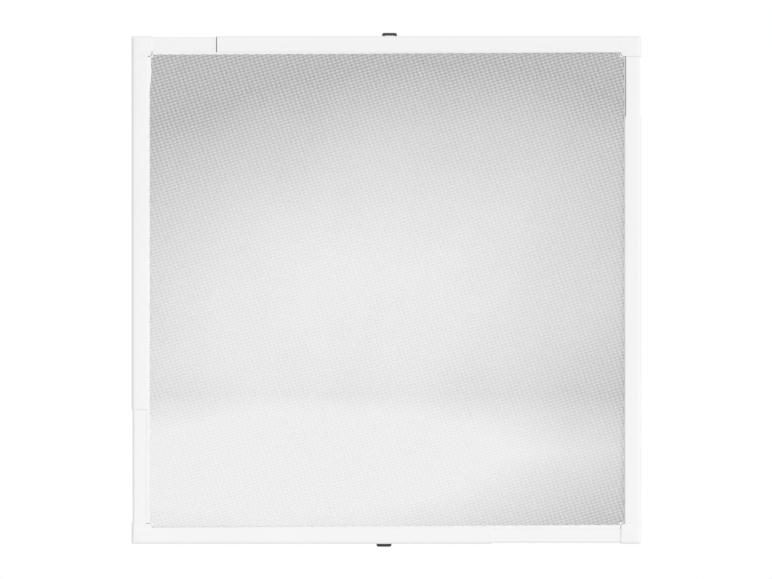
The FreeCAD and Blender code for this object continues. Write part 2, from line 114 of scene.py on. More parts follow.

# Painted light on the mesh: the yarn is paled most in the middle of a turned ellipse, and more below a soft
# level line
PAINTED_LIGHT_MIDDLE = (-0.041, 0.0, -0.025)
PAINTED_LIGHT_TURN = (0.0, -0.253, 0.0)
PAINTED_LIGHT_STRETCH = (1.615, 1.0, 1.0)
PAINTED_LIGHT_REACH = 0.144  # square of the distance in the ellipse at which the painted light is least
PAINTED_LIGHT_MOST = 0.96  # share of painted light in the middle
PAINTED_LIGHT_LEAST = -1.04  # share at the reach; the yarn has no painted light from nothing down
BAND_FULL = -0.177  # height under which the lower band is whole
BAND_START = -0.115  # height at which it begins
BAND_SHARE = 0.68  # share of painted light that it adds
CLOUD_SHIFT = 0.004  # what cloudy patches add to the square of the distance or take from it
STRAND_SHIFT = 0.002  # what a strand's own tone adds or takes

# Gloss, noise and mixing
DULL_SPECULAR = 0.25  # mirror share of dull coats, where one half is a plain plastic's
NOISE_LOW = 0.3  # noise mostly lies between these
NOISE_HIGH = 0.7
MIX_FIRST, MIX_SECOND, MIX_RESULT = 6, 7, 2  # the colour sockets of a Mix node

# Stage, with lengths in metres and angles in degrees
KEY_FROM = (0.5, -0.82, 0.28)
KEY_ANGLE = 14.0
BACK_FROM = (-0.45, 0.75, 0.48)
BACK_ANGLE = 40.0
LAMP_DISTANCE = 3.0
FLOOR_HUB = 0.02
FLOOR_RADIUS = 1.6
FLOOR_FADE = 0.9  # radius from which the floor fades
FLOOR_ROWS = 12
FLOOR_RING = 96
FLOOR_COLOUR = (0.95, 0.95, 0.95)
FLOOR_SEEN = (1.2, 1.2, 1.2)  # what the camera sees, white where no shadow falls
WHITE = (1.0, 1.0, 1.0, 1.0)
SENSOR_WIDTH = 36.0  # in millimetres
VIEW_PLANE = 0.0075  # height over the rails' back at which the view's width is taken
AIM_SIDEWAYS = -0.0004  # small shifts that centre the view
AIM_UP = 0.0005


def length_of(name, description, default):
    """A length that a user may change, in metres."""
    return bpy.props.FloatProperty(
        name=name, description=description, default=default, min=0.0, precision=5, unit="LENGTH"
    )


def angle_of(name, description, degrees):
    """An angle that a user may change."""
    return bpy.props.FloatProperty(
        name=name, description=description, default=math.radians(degrees), subtype="ANGLE"
    )


def share_of(name, description, default):
    """A share from nothing to all."""
    return bpy.props.FloatProperty(
        name=name, description=description, default=default, min=0.0, max=1.0, subtype="FACTOR"
    )


def strength_of(name, description, default):
    """A far lamp's strength, in watts to the square metre."""
    return bpy.props.FloatProperty(name=name, description=description, default=default, min=0.0)


def colour_of(name, description, default):
    """A colour that a user may change, as linear red, green and blue."""
    return bpy.props.FloatVectorProperty(
        name=name, description=description, default=default, min=0.0, max=1.0, size=3, subtype="COLOR"
    )


class ScreenSizes(bpy.types.PropertyGroup):
    """Sizes of the pieces that are worked out here."""

    wall: length_of("Rail wall", "Thickness of the rails' sheet", 0.001)
    front_radius: length_of("Front radius", "Rounding of the sleeve's outer front edge", 0.0045)
    edge_radius: length_of("Edge radius", "Rounding of the sleeve's other edges", 0.0004)
    slide_edge: length_of("Slide edge", "Rounding of the slide's other edges", 0.0003)
    slot_low: length_of("Slot start", "Height of the slot's rear lip above the back", 0.0045)
    slot_high: length_of("Slot end", "Height of the slot's front lip above the back", 0.0075)
    cut_bevel: length_of("Cut bevel", "Deburred edge round a rail's open end", 0.00008)
    # the wide bevel takes the dark colour that is painted shade of the top seam's gap
    wide_bevel: length_of("Wide bevel", "Bare bevel round the top sleeve's open end", 0.00085)
    joint_bevel: length_of("Joint bevel", "Deburred edge where a rail meets a block", 0.00005)
    block: length_of("Block size", "Side of a square corner block", 0.0224)
    block_outer: length_of("Block corner", "Rounding of a block's outer corner", 0.0015)
    block_inner: length_of("Block inner corner", "Rounding of a block's inner corner", 0.0035)
    block_edge: length_of("Block edge", "Rounding of a block's inner front edges", 0.00015)
    plug: length_of("Plug length", "How far a block's plugs go into the rails", 0.032)
    flange: length_of("Strip flange", "Plain thickness of the strip's flange, before its reach", 0.0011)
    flange_front: length_of("Flange height", "Height of the flange's front edge above the back", 0.0113)
    strip_wander: length_of("Strip wander", "How far the strip's edge strays along the rail", 0.0001)
    strip_lift: length_of("Strip lift", "How far the left strip stands out near its upper end", 0.0017)
    upright_pitch: length_of("Upright pitch", "Distance between upright strands", 0.00141)
    level_pitch: length_of("Level pitch", "Distance between level strands", 0.00159)
    yarn: length_of("Yarn", "Diameter of a coated strand", 0.00046)
    stray: length_of("Stray", "How far strands stray from even spacing", 0.000008)
    upright_lean: angle_of("Upright lean", "Lean of the upright strands", 5.5)
    level_lean: angle_of("Level lean", "Lean of the level strands", 7.5)


class ScreenFinish(bpy.types.PropertyGroup):
    """Colours and gloss of the pieces."""

    coat: colour_of("Coat", "White coat on the rails", (0.895, 0.895, 0.895))
    # painted shade: dark colour at the top sleeve's open end, standing for the shadow in the seam's gap
    seam_shade: colour_of("Bare metal", "Sawn end of the top sleeve", (0.12, 0.12, 0.124))
    block: colour_of("Blocks", "Moulded corner blocks", (0.9, 0.9, 0.9))
    strip: colour_of("Strips", "Soft strips that hold the mesh", (0.9, 0.9, 0.9))
    yarn: colour_of("Yarn", "Coated yarn of the mesh", (0.022, 0.022, 0.022))
    # painted light: the pale colour that the dark yarn is blended to, low at the left and in a band at the
    # bottom
    painted_light: colour_of("Dusty yarn", "Yarn where dust has paled it", (0.8, 0.8, 0.8))
    hook: colour_of("Hooks", "Dark moulded hooks", (0.033, 0.033, 0.033))
    zinc: colour_of("Zinc", "Plating on the screws", (0.62, 0.62, 0.63))
    coat_roughness: share_of("Coat roughness", "Roughness of the rails' coat", 0.58)


class ScreenStage(bpy.types.PropertyGroup):
    """Camera and light."""

    distance: length_of("Camera distance", "From the camera to the rails' back", 3.0)
    view_width: length_of("View width", "Width seen at the rails", 0.8484)
    camera_rise: length_of("Camera rise", "Height of the camera over the frame's middle", 0.03)
    floor_drop: length_of("Floor drop", "How far the floor lies under the frame's middle", 0.52)
    key: strength_of("Key", "Strength of the lamp in front, at the right", 1.15)
    back: strength_of("Back", "Strength of the lamp behind, at the left", 0.5)
    ambient: share_of("Ambient", "Level of the even light all round", 0.68)


class Side:
    """One side of the frame, starting at the corner that carries its sleeve.

    A point is base + u inward from the outer edge + v from the back to the front + w along the rail.
    """

    def __init__(self, name, block, along, inward):
        self.name = name
        self.block = block
        self.along = np.array(along, float)
        self.inward = np.array(inward, float)
        half = np.array((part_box("right_sleeve")[1].x, 0.0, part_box("top_sleeve")[1].z))
        self.base = -(self.along + self.inward) * half

    def place(self, u, v, w):
        """Points in the shared frame, for whole arrays of u, v and w."""
        u, v, w = np.broadcast_arrays(u, v, w)
        return self.base + u[..., None] * self.inward + v[..., None] * FRONT + w[..., None] * self.along

    def reach(self, node):
        """How far along the rail a node starts and ends."""
        ends = [(np.array(corner) - self.base) @ self.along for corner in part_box(node)]
        return min(ends), max(ends)


SIDES = [
    Side("top", "corner_top_right", (-1, 0, 0), (0, 0, -1)),
    Side("right", "corner_bottom_right", (0, 0, 1), (-1, 0, 0)),
    Side("bottom", "corner_bottom_left", (1, 0, 0), (0, 0, 1)),
    Side("left", "corner_top_left", (0, 0, -1), (1, 0, 0)),
]


def rail_section(node):
    """Width and depth of a rail along the top, from the frame."""
    low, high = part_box(node)
    return high.z - low.z, high.y - low.y


def slide_step():
    """How much lower a slide lies than the sleeve that it goes into, from the frame."""
    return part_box("top_sleeve")[1].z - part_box("top_slide")[1].z


# Building meshes from whole arrays

def ring_faces(rows, ring):
    """Quads of a closed ring carried over rows: each joins two neighbours on one row to the same two on the
    next."""
    row, column = np.meshgrid(np.arange(rows - 1), np.arange(ring), indexing="ij")
    after = (column + 1) % ring
    quads = (row * ring + column, row * ring + after, (row + 1) * ring + after, (row + 1) * ring + column)
    return np.stack(quads, -1).reshape(-1, 4)


def ring_unwrap(around, along):
    """Surface coordinates of ring_faces: the distance round the ring and the distance along the rows."""
    row, column = np.meshgrid(np.arange(len(along) - 1), np.arange(len(around) - 1), indexing="ij")
    corners = ((row, column), (row, column + 1), (row + 1, column + 1), (row + 1, column))
    return np.stack([np.stack((around[c], along[r]), -1) for r, c in corners], -2).reshape(-1, 2)


def ring_lengths(points):
    """Distance round a closed outline up to each point, and all the way round at the end."""
    steps = np.linalg.norm(np.roll(points, -1, axis=0) - points, axis=1)
    return np.concatenate(((0.0,), np.cumsum(steps)))


def add_piece(name, points, faces, finishes, nodes, unwrap=None, picks=None, tones=None, sharp=40.0):
    """One mesh object at the origin, from an array of points and arrays of faces with equal corner counts.
    Edges that turn by more than the sharp angle, in degrees, stay sharp."""
    corners = np.concatenate([f.ravel() for f in faces]).astype(np.int32)
    counts = np.concatenate([np.full(len(f), f.shape[1]) for f in faces]).astype(np.int32)
    starts = np.concatenate(((0,), np.cumsum(counts)[:-1])).astype(np.int32)
    mesh = bpy.data.meshes.new(name)
    mesh.vertices.add(len(points))
    mesh.vertices.foreach_set("co", np.asarray(points, np.float32).ravel())
    mesh.loops.add(len(corners))
    mesh.loops.foreach_set("vertex_index", corners)
    mesh.polygons.add(len(counts))
    mesh.polygons.foreach_set("loop_start", starts)
    mesh.polygons.foreach_set("loop_total", counts)
    mesh.polygons.foreach_set("use_smooth", np.ones(len(counts), bool))
    if picks is not None:
        mesh.polygons.foreach_set("material_index", np.asarray(picks, np.int32))
    if unwrap is not None:
        layer = mesh.uv_layers.new(name="run")
        layer.data.foreach_set("uv", np.asarray(unwrap, np.float32).ravel())
    if tones is not None:
        attribute = mesh.attributes.new("tone", "FLOAT", "POINT")
        attribute.data.foreach_set("value", np.asarray(tones, np.float32))
    mesh.update(calc_edges=True)
    if mesh.validate():
        raise RuntimeError("the mesh of %s is not sound" % name)
    mesh.set_sharp_from_angle(angle=math.radians(sharp))
    for finish in finishes:
        mesh.materials.append(finish)
    piece = bpy.data.objects.new(name, mesh)
    bpy.context.scene.collection.objects.link(piece)
    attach(piece, "root")
    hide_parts(*nodes)
    return piece


def quarter(u, v, radius, start, steps=10):
    """Quarter circle: the centre plus the radius times the cosine and sine of angles up to ninety degrees on
    from the start."""
    angle = math.radians(start) + np.linspace(0.0, math.pi / 2, steps)
    return np.column_stack((u + radius * np.cos(angle), v + radius * np.sin(angle)))


# Nodes of the finishes

def new_finish(name):
    """A new material, its nodes and its shader."""
    material = bpy.data.materials.new(name)
    material.use_nodes = True
    return material, material.node_tree, material.node_tree.nodes["Principled BSDF"]


def feed(tree, node, feeds):
    """Sets a node's inputs to plain values, or links them to other nodes' outputs."""
    for name, value in feeds.items():
        if isinstance(value, bpy.types.NodeSocket):
            tree.links.new(value, node.inputs[name])
        else:
            node.inputs[name].default_value = value


def add_node(tree, kind, feeds=(), **settings):
    """A node with its settings and its inputs."""
    node = tree.nodes.new(kind)
    for name, value in settings.items():
        setattr(node, name, value)
    feed(tree, node, dict(feeds))
    return node


def reckon(tree, operation, first, second=0.0):
    """One step of arithmetic on numbers or other nodes' outputs."""
    return add_node(tree, "ShaderNodeMath", {0: first, 1: second}, operation=operation).outputs[0]


def spread(tree, value, low, high, out_low, out_high):
    """A value carried from one range to another, held at both ends."""
    feeds = {"Value": value, "From Min": low, "From Max": high, "To Min": out_low, "To Max": out_high}
    return add_node(tree, "ShaderNodeMapRange", feeds).outputs["Result"]


def noise(tree, place, scale, detail=2.0, roughness=0.5):
    """Soft noise, finer with a larger scale and with more detail."""
    feeds = {"Vector": place, "Scale": scale, "Detail": detail, "Roughness": roughness}
    return add_node(tree, "ShaderNodeTexNoise", feeds).outputs["Fac"]


def ranged(tree, pattern, low, high):
    """Noise carried to a range of its own."""
    return spread(tree, pattern, NOISE_LOW, NOISE_HIGH, low, high)


def opaque(colour):
    """Three numbers with full cover; another node's output stays as it is."""
    return colour if isinstance(colour, bpy.types.NodeSocket) else (*colour, 1.0)


def blend(tree, share, first, second):
    """A colour between two others, each given as three numbers or as another node's output."""
    feeds = {"Factor": share, MIX_FIRST: opaque(first), MIX_SECOND: opaque(second)}
    return add_node(tree, "ShaderNodeMix", feeds, data_type="RGBA").outputs[MIX_RESULT]


def tinted(colour, factor):
    """A colour made paler or darker by a factor."""
    return tuple(min(1.0, channel * factor) for channel in colour)


def patchy(tree, pattern, colour, factor):
    """A colour that noise shades towards its tint."""
    return blend(tree, ranged(tree, pattern, 0.0, 1.0), tinted(colour, factor), colour)


def relief(tree, shader, heights):
    """Heights, each with its depth in metres, laid over each other as the surface's relief."""
    last = None
    for height, depth in heights:
        feeds = {"Height": height, "Strength": 1.0, "Distance": depth}
        if last is not None:
            feeds["Normal"] = last
        last = add_node(tree, "ShaderNodeBump", feeds).outputs["Normal"]
    tree.links.new(last, shader.inputs["Normal"])


def object_place(tree):
    """Places in the piece's own coordinates, which are the shared frame's."""
    return add_node(tree, "ShaderNodeTexCoord").outputs["Object"]


def stretched(tree, place, scale):
    """Places times a scale for each axis."""
    return add_node(tree, "ShaderNodeMapping", {"Vector": place, "Scale": scale}).outputs["Vector"]


def along_run(tree, scale):
    """Places round and along a rail or strip, times a scale for each."""
    return stretched(tree, add_node(tree, "ShaderNodeUVMap", uv_map="run").outputs["UV"], scale)


def looked_at(tree):
    """One where the camera, gloss or glass look at a surface, and nothing for the light that it throws."""
    path = add_node(tree, "ShaderNodeLightPath").outputs
    mirrored = reckon(tree, "MAXIMUM", path["Is Camera Ray"], path["Is Glossy Ray"])
    return reckon(tree, "MAXIMUM", mirrored, path["Is Transmission Ray"])


# Finishes

def coated_rail(finish):
    """White coat: broad faint patches, the fine dimples of baked powder, and drawing lines along the rail."""
    material, tree, shader = new_finish("white_rail_coat")
    place = object_place(tree)
    lines = noise(tree, along_run(tree, (900.0, 5.0, 1.0)), scale=1.0)
    patches = noise(tree, place, scale=14.0, detail=4.0)
    dimples = noise(tree, place, scale=650.0)
    roughness = finish.coat_roughness
    feed(tree, shader, {
        "Base Color": patchy(tree, patches, finish.coat, 0.985),
        "Roughness": ranged(tree, lines, roughness - 0.05, roughness + 0.05),
        "Specular IOR Level": DULL_SPECULAR,
    })
    relief(tree, shader, ((lines, 0.000006), (dimples, 0.00003)))
    return material


def seam_shade_end(finish):
    """Painted shade at the top sleeve's open end: dark, dulled metal with fine saw lines, standing for the
    shadow in the seam's gap.
    """
    material, tree, shader = new_finish("painted_seam_shade")
    lines = noise(tree, stretched(tree, object_place(tree), (400.0, 9000.0, 400.0)), scale=1.0, detail=1.0)
    feed(tree, shader, {
        "Base Color": patchy(tree, lines, finish.seam_shade, 0.5),
        "Roughness": ranged(tree, lines, 0.5, 0.7),
        "Metallic": 0.5,
    })
    relief(tree, shader, ((lines, 0.00002),))
    return material


def moulded_block(finish):
    """White moulded plastic: the mould's spark-eroded grain and faint flow patches."""
    material, tree, shader = new_finish("white_moulded_block")
    place = object_place(tree)
    flow = noise(tree, place, scale=70.0, detail=3.0)
    grain = noise(tree, place, scale=1700.0, detail=3.0, roughness=0.6)
    swell = noise(tree, place, scale=160.0, detail=1.0)
    feed(tree, shader, {
        "Base Color": patchy(tree, flow, finish.block, 0.975),
        "Roughness": ranged(tree, grain, 0.54, 0.66),
        "Specular IOR Level": DULL_SPECULAR,
    })
    relief(tree, shader, ((grain, 0.00003), (swell, 0.00002)))
    return material


def soft_strip(finish):
    """Soft white strip: smooth, drawn along its length, a little uneven in tone."""
    material, tree, shader = new_finish("soft_white_strip")
    lines = noise(tree, along_run(tree, (1800.0, 14.0, 1.0)), scale=1.0)
    patches = noise(tree, object_place(tree), scale=45.0)
    feed(tree, shader, {
        "Base Color": patchy(tree, patches, finish.strip, 0.96),
        "Roughness": ranged(tree, lines, 0.4, 0.55),
    })
    relief(tree, shader, ((lines, 0.00002),))
    return material


def weave(tree, x, z, tone, sizes):
    """How far a strand rises over the ones that cross it: the cosine of half a turn for each strand passed
    sideways times the same lengthways, turned over for the level strands, whose tones are the higher ones."""
    sideways = reckon(tree, "SUBTRACT", x, reckon(tree, "MULTIPLY", z, math.tan(sizes.upright_lean)))
    lengthways = reckon(tree, "ADD", z, reckon(tree, "MULTIPLY", x, math.tan(sizes.level_lean)))
    first = reckon(tree, "COSINE", reckon(tree, "MULTIPLY", sideways, math.pi / sizes.upright_pitch))
    second = reckon(tree, "COSINE", reckon(tree, "MULTIPLY", lengthways, math.pi / sizes.level_pitch))
    turned = spread(tree, reckon(tree, "GREATER_THAN", tone, LEVEL_TONE), 0.0, 1.0, 1.0, -1.0)
    return reckon(tree, "MULTIPLY", reckon(tree, "MULTIPLY", first, second), turned)


def painted_light_share(tree, place, z, tone):
    """Share of painted light on the yarn: it falls with the square of the distance in a turned ellipse, which
    cloudy patches and each strand's tone shift a little, and a band below a soft level line adds to it."""
    turn = {"Vector": place, "Location": PAINTED_LIGHT_MIDDLE, "Rotation": PAINTED_LIGHT_TURN, "Scale": PAINTED_LIGHT_STRETCH}
    away = add_node(tree, "ShaderNodeMapping", turn, vector_type="TEXTURE").outputs["Vector"]
    dot = add_node(tree, "ShaderNodeVectorMath", {0: away, 1: away}, operation="DOT_PRODUCT")
    clouds = ranged(tree, noise(tree, place, scale=9.0, detail=3.0), -CLOUD_SHIFT, CLOUD_SHIFT)
    moved = reckon(tree, "ADD", dot.outputs["Value"], clouds)
    moved = reckon(tree, "ADD", moved, spread(tree, tone, 0.0, 1.0, -STRAND_SHIFT, STRAND_SHIFT))
    below = spread(tree, z, BAND_FULL, BAND_START, BAND_SHARE, 0.0)
    return reckon(tree, "ADD", spread(tree, moved, 0.0, PAINTED_LIGHT_REACH, PAINTED_LIGHT_MOST, PAINTED_LIGHT_LEAST), below)


def coated_yarn(finish, sizes):
    """Coated yarn: paled by painted light, with the weave's rise and fall, painted shade where a strand dips,
    and the yarn's twist showing through the coat."""
    material, tree, shader = new_finish("grey_coated_yarn")
    place = object_place(tree)
    part = add_node(tree, "ShaderNodeSeparateXYZ", {0: place}).outputs
    tone = add_node(tree, "ShaderNodeAttribute", attribute_name="tone").outputs["Fac"]
    over = weave(tree, part["X"], part["Z"], tone, sizes)
    twist = noise(tree, place, scale=2600.0, detail=1.0)
    # painted light: the yarn blends from its own dark colour to a pale one, most low at the left
    painted_lit_yarn = blend(tree, painted_light_share(tree, place, part["Z"], tone), finish.yarn, finish.painted_light)
    # painted shade: the yarn darkens towards half its own colour where a strand dips under the one crossing
    # it
    dip_shade = spread(tree, over, -1.0, 0.2, 0.12, 0.0)
    feed(tree, shader, {
        "Base Color": blend(tree, dip_shade, painted_lit_yarn, tinted(finish.yarn, 0.5)),
        "Roughness": ranged(tree, twist, 0.52, 0.66),
        "Specular IOR Level": DULL_SPECULAR,
    })
    relief(tree, shader, ((over, 0.00014), (twist, 0.00003)))
    return material


def dark_hook(finish):
    """Dark moulded plastic: matt grain, a little greyer where it has been handled."""
    material, tree, shader = new_finish("dark_matt_hook")
    place = object_place(tree)
    grain = noise(tree, place, scale=2200.0, detail=3.0, roughness=0.6)
    wear = spread(tree, noise(tree, place, scale=130.0, detail=4.0, roughness=0.6), 0.35, 0.75, 0.0, 1.0)
    feed(tree, shader, {
        "Base Color": blend(tree, wear, finish.hook, tinted(finish.hook, 1.6)),
        "Roughness": ranged(tree, grain, 0.45, 0.65),
    })
    relief(tree, shader, ((grain, 0.00004),))
    return material


def zinc_plate(finish, name, middle):
    """Plated steel: rings left by turning, round the screw's own axis, under a cloudy plating."""
    material, tree, shader = new_finish(name)
    place = object_place(tree)
    about = add_node(tree, "ShaderNodeMapping", {"Vector": place, "Location": tuple(-m for m in middle)})
    feeds = {"Vector": about.outputs["Vector"], "Scale": 900.0, "Distortion": 0.6, "Detail": 1.0}
    rings = add_node(tree, "ShaderNodeTexWave", feeds, wave_type="RINGS", rings_direction="Y").outputs["Fac"]
    clouds = noise(tree, place, scale=900.0, detail=3.0)
    feed(tree, shader, {
        "Base Color": patchy(tree, clouds, finish.zinc, 0.82),
        "Roughness": ranged(tree, clouds, 0.25, 0.4),
        "Metallic": 1.0,
    })
    relief(tree, shader, ((rings, 0.00001),))
    return material


# Shapes

def rail_run(low_u, high_u, low_v, high_v, front, edge, slot_low, slot_high):
    """Open run round a rail's section, from the slot's front lip over the front face and the outer wall,
    and along the back to the slot's rear lip: straight lines joined by quarter circles."""
    return np.vstack((
        ((high_u, slot_high),),
        quarter(high_u - edge, high_v - edge, edge, 0),
        quarter(low_u + front, high_v - front, front, 90, steps=16),
        quarter(low_u + edge, low_v + edge, edge, 180),
        quarter(high_u - edge, low_v + edge, edge, 270),
        ((high_u, slot_low),),
    ))


def make_rail(side, node, inset, width, depth, front, edge, bevels, sizes, finishes):
    """A slotted tube: the run round the outside and a second run one wall inside make a closed section, which
    is carried along the rail. The last step at each end draws the outside in by the deburred edge. A wide one
    is dark, painted shade of the seam's gap, and most of it stands past the sleeve's end."""
    wall = sizes.wall
    first_bevel, last_bevel = bevels
    low, high = side.reach(node)
    lips = (sizes.slot_low, sizes.slot_high)
    box = np.array((inset, inset + width, inset, inset + depth))
    shrink = np.array((1.0, -1.0, 1.0, -1.0))
    outside = rail_run(*box, front, edge, *lips)
    inside = rail_run(*(box + shrink * wall), front - wall, INSIDE_RADIUS, *lips)[::-1]
    full = np.vstack((outside, inside))
    ends = []
    for bevel in bevels:
        drawn = rail_run(*(box + shrink * bevel), front - bevel, max(edge - bevel, INSIDE_RADIUS), *lips)
        ends.append(np.vstack((drawn, inside)))
    seam_shade = last_bevel == sizes.wide_bevel
    if seam_shade:
        high = high + SEAM_SHADE_SHARE * last_bevel
    stations = np.array((low, low + first_bevel, high - last_bevel, high))
    section = np.stack((ends[0], full, full, ends[1]))
    points = side.place(section[..., 0], section[..., 1], stations[:, None]).reshape(-1, 3)
    ring = len(full)
    last_row = (len(stations) - 1) * ring
    first = np.arange(len(outside) - 1)
    cap = np.stack((first, first + 1, ring - 2 - first, ring - 1 - first), -1)
    faces = np.vstack((ring_faces(len(stations), ring), cap[:, ::-1], cap + last_row))
    unwrap = np.vstack((
        ring_unwrap(ring_lengths(full), stations),
        ends[0][cap[:, ::-1]].reshape(-1, 2),
        ends[1][cap].reshape(-1, 2),
    ))
    picks = np.zeros(len(faces))
    # painted shade: the wide bevel's ring and the end cap take the dark seam colour
    if seam_shade:
        picks[last_row - ring:last_row] = 1
        picks[-len(cap):] = 1
    return add_piece(node + "_coated", points, [faces], finishes, [node], unwrap, picks)


def block_levels(sizes, depth, outer):
    """Heights of a block's rings and how far each is drawn in on the outer and on the inner sides: a small
    quarter circle at the back, straight walls, then a large quarter circle outside and a small one inside at
    the front."""
    angle = np.linspace(0.0, math.pi / 2, REAR_STEPS)
    turn = np.linspace(0.0, math.pi / 2, FRONT_STEPS)
    heights = np.concatenate((BLOCK_REAR * (1 - np.cos(angle)), depth - outer + outer * np.sin(turn)))
    outside = np.concatenate((BLOCK_REAR * (1 - np.sin(angle)), outer * (1 - np.cos(turn))))
    over = np.clip(heights - (depth - sizes.block_edge), 0.0, sizes.block_edge)
    inside = sizes.block_edge - np.sqrt(sizes.block_edge ** 2 - over ** 2)
    inside[:REAR_STEPS] = REAR_INNER_SHARE * outside[:REAR_STEPS]
    return heights, outside, inside


def block_outline(low, high, outer, inner):
    """Rounded square seen from the front, as distances along the rail and inward: a small round at the outer
    corner, a large one at the inner corner, and nearly sharp ones where the rails join."""
    return np.vstack((
        quarter(low + outer, low + outer, outer, 180),
        quarter(high - BLOCK_JOINT, low + BLOCK_JOINT, BLOCK_JOINT, 270, steps=4),
        quarter(high - inner, high - inner, inner, 0, steps=16),
        quarter(low + BLOCK_JOINT, high - BLOCK_JOINT, BLOCK_JOINT, 90, steps=4),
    ))


def plug_outline(low, high_u, high_v, front, groove, slot_low, slot_high):
    """Section of a plug: a rectangle with the rail's rounded front edge and a groove for the strip and the
    mesh."""
    return np.vstack((
        ((high_u, slot_high), (high_u, high_v)),
        quarter(low + front, high_v - front, front, 90, steps=8),
        ((low, low), (high_u, low), (high_u, slot_low), (groove, slot_low), (groove, slot_high)),
    ))


def make_block(side, sizes, finish, width, depth, slide_inset):
    """A corner block: its outline is repeated at each level, drawn in as the level says, and closed by flat
    faces; two plugs are straight runs of their own section, with a tapered end."""
    heights, outside, inside = block_levels(sizes, depth, sizes.front_radius)
    rings = np.stack([
        block_outline(low, sizes.block - high, sizes.block_outer, sizes.block_inner)
        for low, high in zip(outside, inside)
    ])
    body = side.place(rings[..., 1], heights[:, None], rings[..., 0])
    ring = rings.shape[1]
    points = [body.reshape(-1, 3)]
    quads = [ring_faces(len(heights), ring)]
    caps = [np.arange(ring)[None, ::-1], np.arange(ring)[None] + (len(heights) - 1) * ring]
    start = len(points[0])
    end = sizes.block + sizes.plug
    steps = np.array((sizes.block - PLUG_ROOT, end - PLUG_LEAD, end))
    for lower, swap in ((0.0, False), (slide_inset, True)):
        near_side = lower + sizes.wall + PLUG_FIT
        outline = plug_outline(
            near_side, width - near_side, depth - near_side, sizes.front_radius - near_side,
            width - PLUG_GROOVE - lower, sizes.slot_low, sizes.slot_high,
        )
        middle = outline.mean(axis=0)
        section = np.stack((outline, outline, middle + (outline - middle) * PLUG_TAPER))
        along = np.broadcast_to(steps[:, None], section.shape[:2])
        count = len(outline)
        grid = ring_faces(len(steps), count)
        lids = np.stack((np.arange(count)[::-1], np.arange(count) + (len(steps) - 1) * count))
        if swap:
            plug = side.place(along, section[..., 1], section[..., 0])
            grid = grid[:, ::-1]
            lids = lids[:, ::-1]
        else:
            plug = side.place(section[..., 0], section[..., 1], along)
        points.append(plug.reshape(-1, 3))
        quads.append(grid + start)
        caps.append(lids + start)
        start += len(steps) * count
    name = side.block + "_moulded"
    faces = [np.vstack(quads), *caps]
    return add_piece(name, np.vstack(points), faces, [finish], [side.block])


def strip_outline(edge, flange, barb_back, flange_front):
    """Section of a strip: a barb in the slot with ribs on its front, and a flange standing forward on the
    rail's inner side. Given as the barb's points, the flange's far side, its front lip and its side against
    the rail."""
    tip = edge - BARB_DEPTH
    far = edge + flange
    barb_front = barb_back + BARB_THICKNESS
    crests = RIB_FIRST - RIB_PITCH * np.arange(RIB_COUNT)
    ribs = tip + (crests[:, None] + np.array((RIB_HALF, 0.0, -RIB_HALF))).ravel()
    teeth = barb_front + np.tile((0.0, RIB_HEIGHT, 0.0), RIB_COUNT)
    barb = np.vstack((
        np.column_stack((ribs, teeth)),
        ((tip, barb_front - NOSE_DEPTH), (tip, barb_back + NOSE_DEPTH), (tip + NOSE_LENGTH, barb_back)),
    ))
    far_side = np.vstack((
        quarter(far - FLANGE_ROUND, barb_back + FLANGE_ROUND, FLANGE_ROUND, 270, steps=5),
        quarter(far - FLANGE_ROUND, flange_front - FLANGE_ROUND, FLANGE_ROUND, 0, steps=6),
    ))
    lip = np.array(((edge, flange_front), (edge, flange_front - LIP_HEIGHT)))
    near_side = np.array(((edge, barb_front + FLANGE_SEAT), (edge, barb_front)))
    return barb, far_side, lip, near_side


def make_strip(side, sizes, finish, width, drop):
    """A strip: its section is carried along the rail. The flange's far side stands off the rail by a reach
    that changes evenly along it, plus a sum of three slow sine waves, more at the front than at the root.
    Along the slide, which lies lower, the near side swells into the gap and its lip covers the rail's edge,
    apart from the right side, where the gap stays open. On the left a bell curve near the upper end moves the
    far side out, where the strip isn't pressed home."""
    node = side.name + "_strip"
    low, high = side.reach(node)
    seam = side.reach(side.name + "_sleeve")[1]
    if side.name == "top":
        seam = seam + SEAM_SHADE_SHARE * sizes.wide_bevel
    stations = np.sort(np.append(np.linspace(low, high, STRIP_STATIONS), (seam, seam + SWELL_RUN)))
    barb_back = -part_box("insect_mesh")[0].y
    parts = strip_outline(width, sizes.flange, barb_back, sizes.flange_front)
    outline = np.vstack(parts)
    order = np.repeat(np.arange(len(parts)), [len(part) for part in parts])
    far_side, lip, near_side = (order == place for place in (1, 2, 3))
    near = np.where(lip, drop + sizes.slide_edge, np.where(near_side, drop - SWELL_GAP, 0.0))
    phase = STRIP_PHASE[side.name]
    waves = sum(np.sin(stations * rate + phase * rate) for rate in WAVE_RATES) / len(WAVE_RATES)
    first, last = STRIP_REACH[side.name]
    reach = first + (last - first) * (stations - low) / (high - low) + sizes.strip_wander * waves
    rise = np.clip((outline[:, 1] - barb_back) / (sizes.flange_front - barb_back), 0.0, 1.0)
    swell = np.clip((stations - seam) / SWELL_RUN, 0.0, 1.0)
    lift = np.zeros(len(stations))
    if side.name == "right":
        swell = np.zeros(len(stations))
    if side.name == "left":
        lift = sizes.strip_lift * np.exp(-(((stations - BULGE_MIDDLE) / BULGE_HALF) ** 4))
    moved = far_side * (ROOT_SHARE + (1.0 - ROOT_SHARE) * rise)
    across = outline[None, :, 0] + (reach + lift - sizes.flange)[:, None] * moved[None]
    across = across - swell[:, None] * near[None]
    points = side.place(across, outline[None, :, 1], stations[:, None])
    ring = len(outline)
    walls = ring_faces(len(stations), ring)
    lids = np.stack((np.arange(ring)[::-1], np.arange(ring) + (len(stations) - 1) * ring))
    unwrap = np.vstack((ring_unwrap(ring_lengths(outline), stations), outline[::-1], outline))
    name = node + "_soft"
    return add_piece(name, points.reshape(-1, 3), [walls, lids], [finish], [node], unwrap)


